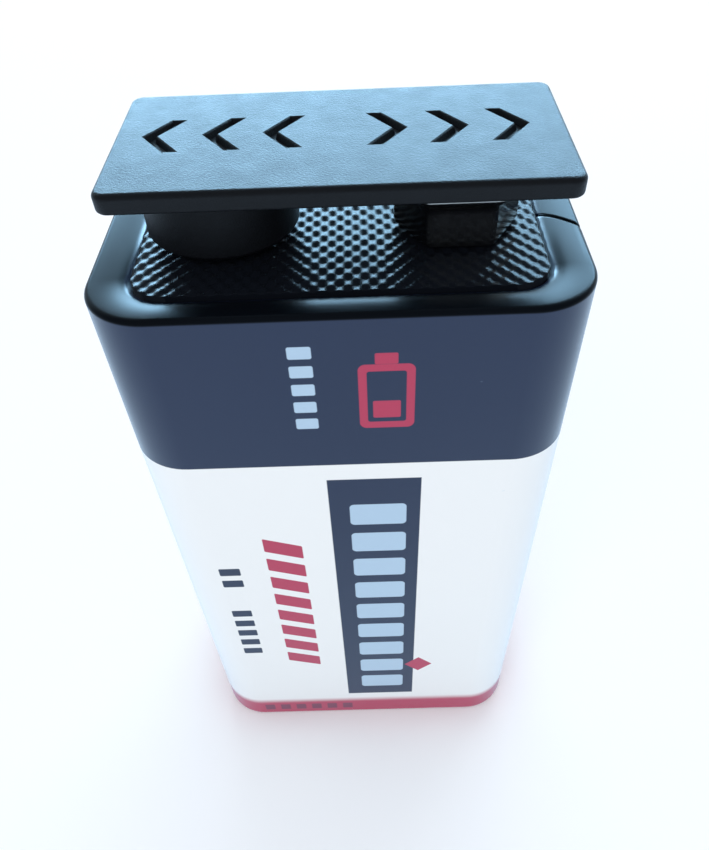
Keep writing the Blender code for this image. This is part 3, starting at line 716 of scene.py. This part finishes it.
def turned(name, profile, steps, middle, **ends):
    """A round piece on an upright axis, from the radius and level of each ring."""
    rings = [at_level(circle(radius, steps), level, (middle, 0)) for radius, level in profile]
    return skin(name, rings, **ends)


plastic, surface, mould = new_finish("moulded_black_plate", PLASTIC_SPECULAR)
spot = mould.spot()
surface["Base Color"].default_value = BLACK_PLASTIC
cloud = mould.speckle(spot, PLASTIC_CLOUD_SIZE, detail=3.0)
mould.feed(surface["Roughness"], PLASTIC_ROUGHNESS + cloud * PLASTIC_CLOUD_ROUGHNESS)
pores = mould.speckle(spot, PLASTIC_GRAIN_SIZE, detail=2.0)
mould.feed(surface["Normal"], mould.relief(pores, PLASTIC_GRAIN_DEPTH))

plate = bpy.data.objects.new("studded_plate", bpy.data.meshes.new("studded_plate"))
bpy.context.scene.collection.objects.link(plate)
plate_sizes = {
    "Width": PAD_WIDTH,
    "Length": PAD_LENGTH,
    "Rise": PAD_RISE,
    "Block": PANEL_BLOCK,
    "Half X": panel_half_x,
    "Half Y": panel_half_y,
    "Finish": plastic,
}
made_by_tree(plate, pads_tree(), plate_sizes)
for point in plate.data.vertices:
    point.co.z += panel_level - PANEL_BLOCK
panel_outline = rounded_outline(panel_half_x, panel_half_y, panel_radius, PANEL_STEPS)
trim_rings = [at_level(panel_outline, panel_level + side * TRIM_REACH) for side in (1, -1)]
joined(plate, skin("trim", trim_rings, top=True, floor=True), "INTERSECT")
plate_radius = JACKET_CORNER - (jacket_high.x - plate_high.x)
outer = rounded_outline(plate_high.x, plate_high.y, plate_radius, PLATE_STEPS)
inner_half_x = plate_high.x - PLATE_SKIRT
inner_half_y = plate_high.y - PLATE_SKIRT
inner = rounded_outline(inner_half_x, inner_half_y, plate_radius - PLATE_SKIRT, PLATE_STEPS)
lid_rings = [
    at_level(outer, flange_level),
    at_level(outer, plate_low.z),
    at_level(inner, plate_low.z),
    at_level(inner, plate_under),
]
joined(plate, skin("lid", lid_rings, top=True, floor=True), "UNION")
stud_low, stud_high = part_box("positive_stud")
socket_low, socket_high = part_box("negative_socket")
stud_x = (stud_low.x + stud_high.x) / 2
socket_x = (socket_low.x + socket_high.x) / 2
bore_ends = ((BORE_RADIUS, panel_level + PANEL_RISE), (BORE_RADIUS, plate_under - PANEL_RISE))
for middle in (stud_x, socket_x):
    joined(plate, turned("bore", bore_ends, BORE_STEPS, middle, top=True, floor=True), "DIFFERENCE")
settled(plate, PLATE_SHARP)
plate.data.materials.clear()
plate.data.materials.append(plastic)
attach(plate, "battery")
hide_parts("terminal_plate")

# The contacts: a round stud and a six-sided socket, both drawn from thin nickel-plated
# steel and riveted to the plate by tubular eyelets, whose rolled ends show inside them.
CONTACT_METAL = 0.00028
CONTACT_SHARP = 35
STUD_NECK = 0.00262
STUD_BULB = 0.0029
STUD_ROUND = 0.0007
STUD_FLANGE = 0.00312
STUD_MOUTH = 0.0019
STUD_RECESS = 0.0006
STUD_LIP = CONTACT_METAL / 2
STUD_HOLLOW = 0.3 * CONTACT_METAL
STUD_EDGE_WIDTH = 0.2 * CONTACT_METAL
STUD_EDGE_DROP = 0.3 * CONTACT_METAL
LIP_STEPS = 6
BULB_STEPS = 8
STUD_STEPS = 72
SOCKET_WIDTH = 0.006
SOCKET_CORNER = 0.0005
SOCKET_STEPS = 6
SOCKET_LIP = (
    (0.00672, 0.0),
    (0.00686, -0.00004),
    (0.0069, -0.00016),
    (0.00684, -0.0003),
    (0.0066, -0.00043),
    (0.0062, -0.0006),
    (0.00606, -0.00075),
    (SOCKET_WIDTH, -0.001),
    (SOCKET_WIDTH, -0.0015),
    (SOCKET_WIDTH, -0.0021),
    (SOCKET_WIDTH, -0.0024),
)
SOCKET_FOOT = (
    (SOCKET_WIDTH, CONTACT_METAL),
    (0.00594, 0.3 * CONTACT_METAL),
    (0.00576, 0.0),
)
NICKEL = (0.56, 0.53, 0.49, 1)
TARNISH = (0.3, 0.26, 0.21, 1)
TARNISH_SIZE = 1.6
TARNISH_START = 0.58
TARNISH_EDGE = 0.3
TARNISH_ROUGHNESS = 0.08
DRAWN_SIZE = 0.12
DRAWN_ROUGHNESS = 0.06
DRAWN_DEPTH = 0.0005


def nickel_finish(name, metal, roughness, stain, drawn):
    """Plated or bare nickel: fine drawing marks and a thin uneven tarnish."""
    material, surface, plating = new_finish(name, metallic=1.0)
    spot = plating.spot()
    tarnish = plating.speckle(spot, TARNISH_SIZE, detail=4.0)
    tarnish = plating.rise(tarnish, TARNISH_START, TARNISH_EDGE)
    plating.feed(surface["Base Color"], plating.mix(tarnish * stain, metal, TARNISH))
    marks = plating.speckle(plating.drawn_out(spot, drawn), DRAWN_SIZE, detail=3.0)
    dulled = (marks - 0.5) * DRAWN_ROUGHNESS + tarnish * TARNISH_ROUGHNESS
    plating.feed(surface["Roughness"], roughness + dulled)
    plating.feed(surface["Normal"], plating.relief(marks, DRAWN_DEPTH))
    return material


contact_nickel = nickel_finish("plated_nickel", NICKEL, roughness=0.13, stain=0.35, drawn=(1, 1, 0.12))
stud_top = stud_high.z
bulb = stud_top - STUD_ROUND
rivet_top = stud_top - STUD_RECESS
flange_top = stud_low.z + CONTACT_METAL
drawn_in = bend(STUD_MOUTH + STUD_LIP, stud_top - STUD_LIP, STUD_LIP, STUD_LIP, 0, 180, LIP_STEPS)
drawn_in += bend(STUD_BULB - STUD_ROUND, bulb, STUD_ROUND, STUD_ROUND, 90, 180, BULB_STEPS)[1:]
drawn_in += bend(STUD_NECK, bulb, STUD_BULB - STUD_NECK, STUD_ROUND, 180, 270, BULB_STEPS)[1:]
stud_profile = [(radius, level) for radius, level, facing in drawn_in]
stud_profile += [
    (STUD_NECK, flange_top + CONTACT_METAL),
    (STUD_NECK + STUD_HOLLOW, flange_top + STUD_HOLLOW),
    (STUD_NECK + CONTACT_METAL, flange_top),
    (STUD_FLANGE - STUD_EDGE_WIDTH, flange_top),
    (STUD_FLANGE, flange_top - STUD_EDGE_DROP),
    (STUD_FLANGE, stud_low.z),
    (STUD_NECK, stud_low.z),
    (STUD_NECK - CONTACT_METAL, flange_top),
    (STUD_NECK - CONTACT_METAL, bulb - STUD_ROUND),
    (STUD_BULB - CONTACT_METAL, bulb),
    (STUD_MOUTH + CONTACT_METAL, rivet_top - CONTACT_METAL),
    (BORE_RADIUS, rivet_top - CONTACT_METAL),
    (BORE_RADIUS, rivet_top),
    (STUD_MOUTH, rivet_top),
]
stud = settled(turned("snap_stud", stud_profile, STUD_STEPS, stud_x, looped=True), CONTACT_SHARP)


def hexagon(flats):
    """The socket's rounded hexagon with a corner at +X, given across its flats."""
    reach = flats / math.sqrt(3) - SOCKET_CORNER * 2 / math.sqrt(3)
    points = []
    for side in range(6):
        middle = math.radians(60 * side)
        centre = reach * Vector((math.cos(middle), math.sin(middle)))
        for step in range(SOCKET_STEPS + 1):
            angle = middle + math.radians(60) * (step / SOCKET_STEPS - 0.5)
            points.append(centre + SOCKET_CORNER * Vector((math.cos(angle), math.sin(angle))))
    return points


socket_section = [(flats, socket_high.z + fall) for flats, fall in SOCKET_LIP]
socket_section += [(flats, socket_low.z + rise) for flats, rise in SOCKET_FOOT]
socket_rings = [at_level(hexagon(flats), level, (socket_x, 0)) for flats, level in socket_section]
bore_ring = [BORE_RADIUS * point.normalized() for point in hexagon(SOCKET_WIDTH)]
socket_rings.append(at_level(bore_ring, socket_low.z, (socket_x, 0)))
snap_socket = walled(skin("snap_socket", socket_rings), CONTACT_METAL)
settled(snap_socket, CONTACT_SHARP)
for piece, node in ((stud, "positive_stud"), (snap_socket, "negative_socket")):
    piece.data.materials.append(contact_nickel)
    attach(piece, "battery")
    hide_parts(node)

# The cap: a bar moulded in black plastic, with a fine spark-eroded grain. It is pushed
# on: a cup on its underside grips the stud, and a round boss stands in the socket.
CAP_CORNER = 0.0007
CAP_EDGE = 0.0003
CAP_FOOT = 0.00015
CAP_SKIN = 0.00098
CAP_SHARP = 25
CAP_CORNER_STEPS = 10
CAP_EDGE_STEPS = 6
CAP_FOOT_STEPS = 3
CUP_WALL = 0.00117
CUP_BORE = 0.00298
CUP_RADIUS = CUP_BORE + CUP_WALL
CUP_CEILING = 0.00018
CUP_ROUND = 0.0002
CUP_LEAD = 0.0001
CUP_STEPS = 96
BOSS_RADIUS = 0.0024
BOSS_REACH = 0.0007
BOSS_STEPS = 64
MARK_DEPTH = 0.00035
MARK_DRAFT = 0.00009
MARK_CHAMFER = 0.00006
MARK_STROKE = 0.00055
MARK_HALF = 0.0018
MARK_START = 0.0017
MARK_END = 0.000575
MARK_OFFSET = 0.0006
MARK_SLOPE = 0.7
MARKS = 3
CAP_BLACK = (0.004, 0.0045, 0.006, 1)
CAP_SPECULAR = 0.25
CAP_ROUGHNESS = 0.36
CAP_CLOUD_ROUGHNESS = 0.14
CAP_CLOUD_SIZE = 1.1
CAP_CLOUD_SHARE = 0.4
GRAIN_SIZE = 0.1
GRAIN_SHARE = 0.9
GRAIN_DEPTH = 0.026

cap_low, cap_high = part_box("terminal_cap")
cap_half_x = (cap_high.x - cap_low.x) / 2
cap_half_y = (cap_high.y - cap_low.y) / 2
cap_middle = ((cap_high.x + cap_low.x) / 2, (cap_high.y + cap_low.y) / 2)
cap_top = cap_high.z
cap_under = cap_top - CAP_SKIN
bar_side = bend(CAP_EDGE, cap_top - CAP_EDGE, CAP_EDGE, CAP_EDGE, 90, 0, CAP_EDGE_STEPS)
bar_side += bend(CAP_FOOT, cap_under + CAP_FOOT, CAP_FOOT, CAP_FOOT, 0, -90, CAP_FOOT_STEPS)
cap_rings = []
for inset, level, facing in bar_side:
    corner = CAP_CORNER - inset
    outline = rounded_outline(cap_half_x - inset, cap_half_y - inset, corner, CAP_CORNER_STEPS)
    cap_rings.append(at_level(outline, level, cap_middle))
cap = skin("moulded_cap", cap_rings, top=True, floor=True)
mouth = cap_low.z
rooted = cap_under + CAP_SKIN / 2
cup_profile = [
    (CUP_RADIUS, rooted),
    (CUP_RADIUS, mouth + CUP_ROUND),
    (CUP_RADIUS - CUP_ROUND / 2, mouth + CUP_ROUND / 4),
    (CUP_RADIUS - CUP_ROUND, mouth),
    (CUP_BORE + CUP_LEAD, mouth),
    (CUP_BORE, mouth + CUP_LEAD),
    (CUP_BORE, stud_high.z + CUP_CEILING),
]
boss_profile = [(BOSS_RADIUS, rooted), (BOSS_RADIUS, socket_high.z - BOSS_REACH)]
joined(cap, turned("cup", cup_profile, CUP_STEPS, stud_x, top=True, floor=True), "UNION")
joined(cap, turned("boss", boss_profile, BOSS_STEPS, socket_x, top=True, floor=True), "UNION")


def grown(outline, by):
    """An anticlockwise outline with its sides moved outwards."""
    moved = []
    for index, corner in enumerate(outline):
        into = (corner - outline[index - 1]).normalized()
        out = (outline[(index + 1) % len(outline)] - corner).normalized()
        mitre = Vector((into.y + out.y, -into.x - out.x)).normalized()
        moved.append(corner + mitre * by / mitre.dot(Vector((into.y, -into.x))))
    return moved


mark_lean = MARK_HALF * MARK_SLOPE
mark_stroke = MARK_STROKE * math.hypot(1, MARK_SLOPE)
mark_pitch = (cap_half_x - MARK_START - MARK_END) / MARKS
mark_levels = ((2 * MARK_CHAMFER, MARK_CHAMFER), (0, -MARK_CHAMFER), (-MARK_DRAFT, -MARK_DEPTH))
for number in range(MARKS):
    start = MARK_START + number * mark_pitch
    arrow = [
        Vector((start, MARK_OFFSET - MARK_HALF)),
        Vector((start + mark_stroke, MARK_OFFSET - MARK_HALF)),
        Vector((start + mark_stroke + mark_lean, MARK_OFFSET)),
        Vector((start + mark_stroke, MARK_OFFSET + MARK_HALF)),
        Vector((start, MARK_OFFSET + MARK_HALF)),
        Vector((start + mark_lean, MARK_OFFSET)),
    ]
    mirrored = [Vector((-point.x, point.y)) for point in reversed(arrow)]
    for outline in (arrow, mirrored):
        mark_rings = [at_level(grown(outline, by), cap_top + rise) for by, rise in mark_levels]
        joined(cap, skin("mark", mark_rings, top=True, floor=True), "DIFFERENCE")
settled(cap, CAP_SHARP)

grain_black, surface, grain = new_finish("spark_eroded_black", CAP_SPECULAR)
spot = grain.spot()
surface["Base Color"].default_value = CAP_BLACK
fine = grain.speckle(spot, GRAIN_SIZE, detail=3.0, roughness=0.6)
broad = grain.speckle(spot, CAP_CLOUD_SIZE, detail=3.0)
grain.feed(surface["Roughness"], CAP_ROUGHNESS + broad * CAP_CLOUD_ROUGHNESS)
pitted = fine * GRAIN_SHARE + broad * CAP_CLOUD_SHARE
grain.feed(surface["Normal"], grain.relief(pitted, GRAIN_DEPTH))
cap.data.materials.clear()
cap.data.materials.append(grain_black)
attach(cap, "cap")
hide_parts("terminal_cap")


# The rest of the battery, hidden by the jacket until a side is cut away: six sealed
# cells in a paper sleeve, nickel strips welded to them, two cards and the base board.
CAN_STEEL = (0.58, 0.59, 0.61, 1)
CARD_GREY = (0.42, 0.4, 0.37, 1)
CARD_DARK = (0.3, 0.27, 0.23, 1)
PAPER_WHITE = (0.8, 0.8, 0.78, 1)
PAPER_DARK = (0.7, 0.69, 0.65, 1)
BASE_BLACK = (0.016, 0.017, 0.02, 1)
BASE_GREY = (0.04, 0.04, 0.043, 1)
FIBRE_LENGTHS = ((0.25, 1, 1), (1, 0.25, 1))
FIBRE_TURNS = ((0, 0, 0.5), (0, 0, -0.4))
FELT_START = 0.62
FELT_EDGE = 0.2
FELT_ROUGHNESS = 0.1


def fibre_finish(name, colour, dark, roughness, size, depth):
    """Card, paper or board: short pressed fibres, with darker ones among them."""
    material, surface, pulp = new_finish(name)
    spot = pulp.spot()
    laid = [pulp.drawn_out(spot, *way) for way in zip(FIBRE_LENGTHS, FIBRE_TURNS)]
    along, cross = (pulp.speckle(way, size, detail=4.0, roughness=0.7) for way in laid)
    felt = along | cross
    darker = pulp.rise(felt, FELT_START, FELT_EDGE)
    pulp.feed(surface["Base Color"], pulp.mix(darker, colour, dark))
    pulp.feed(surface["Roughness"], roughness + felt * FELT_ROUGHNESS)
    pulp.feed(surface["Normal"], pulp.relief(felt, depth))
    return material


strip_nickel = nickel_finish("strip_nickel", NICKEL, roughness=0.34, stain=0.3, drawn=(0.1, 1, 1))
can_steel = nickel_finish("can_steel", CAN_STEEL, roughness=0.3, stain=0.35, drawn=(1, 1, 0.08))
card = fibre_finish("pressed_card", CARD_GREY, CARD_DARK, roughness=0.8, size=0.25, depth=0.02)
paper = fibre_finish("sleeve_paper", PAPER_WHITE, PAPER_DARK, roughness=0.7, size=0.3, depth=0.01)
board_black = fibre_finish("base_board", BASE_BLACK, BASE_GREY, roughness=0.5, size=0.2, depth=0.02)
finishes = {
    "positive_rivet": contact_nickel,
    "negative_rivet": contact_nickel,
    "positive_lead": strip_nickel,
    "negative_lead": strip_nickel,
    "upper_insulator": card,
    "lower_insulator": card,
    "cell_sleeve": paper,
    "base_plate": board_black,
}
for node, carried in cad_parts.items():
    if node.startswith("cell_") and node != "cell_sleeve":
        finishes[node] = can_steel
    elif "_strap_" in node:
        finishes[node] = strip_nickel
    if node in finishes:
        for slot in carried.material_slots:
            slot.material = finishes[node]
